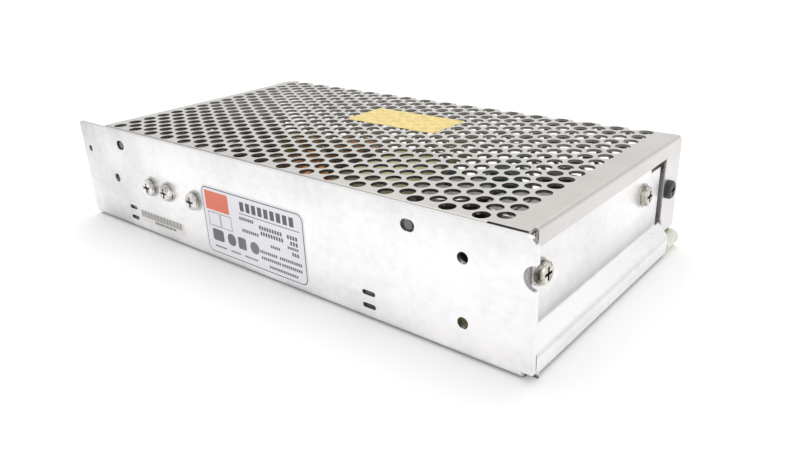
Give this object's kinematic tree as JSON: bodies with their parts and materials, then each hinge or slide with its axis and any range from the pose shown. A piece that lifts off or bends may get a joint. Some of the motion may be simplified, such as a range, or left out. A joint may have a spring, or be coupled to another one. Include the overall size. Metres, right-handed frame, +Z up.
{
  "type": "switching power supply",
  "caption": "Flat switching power supply in a folded aluminium chassis, closed by a perforated steel mesh cover.",
  "frame": {"origin": "centre of the case's footprint on its mounting face, the underside of the floor", "axes": "+X along the case from the terminals to the closed end, +Y from the plain side wall to the perforated side, +Z up from the mounting face"},
  "size_m": [0.199, 0.1002, 0.038],
  "materials": {
    "chassis": "satin mill finish",
    "cover": "galvanised, satin",
    "screw": "zinc plated",
    "washer": "zinc plated",
    "black_screw": "black oxide, satin",
    "insulation": "thin film, satin",
    "board": "glass-fibre laminate, satin",
    "terminal_block": "moulded, satin",
    "terminal": "tin plated",
    "trimmer": "moulded",
    "rotor": "moulded",
    "black_plastic": "moulded, matt",
    "led": "clear tinted",
    "ferrite": "sintered, matt",
    "tape": "tape, glossy",
    "copper": "enamelled copper",
    "core_paint": "painted powder core",
    "main_can": "shrink sleeve",
    "can": "shrink sleeve",
    "film_can": "moulded",
    "disc_resin": "dipped resin",
    "fuse_glass": "clear",
    "inrush": "dipped resin",
    "resistor": "lacquered",
    "nylon": "translucent nylon"
  },
  "bodies": {
    "case": {"chassis": "chassis", "mesh_cover": "cover", "leg_screw": "black_screw", "end_screws": "screw", "end_washers": "washer", "side_screws": "screw", "side_washers": "washer", "screw_nuts": "washer", "insulation_sheet": "insulation", "circuit_board": "board", "standoffs": "washer", "board_screws": "screw", "terminal_block": "terminal_block", "terminal_plates": "terminal", "terminal_clamps": "terminal", "terminal_screws": "screw", "trimmer_body": "trimmer", "led_holder": "black_plastic", "led": "led", "side_transistors": "black_plastic", "end_transistors": "black_plastic", "insulator_pads": "insulation", "transformer_core": "ferrite", "transformer_winding": "tape", "transformer_pin_blocks": "black_plastic", "inductor_core": "core_paint", "inductor_winding": "copper", "inductor_cradle": "black_plastic", "main_capacitors": "main_can", "output_capacitors": "can", "small_capacitors": "can", "line_choke_core": "ferrite", "line_choke_coils": "copper", "film_capacitors": "film_can", "disc_capacitors": "disc_resin", "fuse": "fuse_glass", "fuse_clips": "terminal", "rectifier": "black_plastic", "inrush_disc": "inrush", "resistors": "resistor", "control_chips": "black_plastic", "nylon_clip": "nylon"},
    "voltage_trimmer": {"trimmer_rotor": "rotor"}
  },
  "joints": [
    {"name": "voltage_trim", "type": "hinge", "parent": "case", "child": "voltage_trimmer", "pos_m": [-0.097, -0.0342, 0.0113], "axis": [1, 0, 0], "range_deg": [-130, 130]}
  ]
}
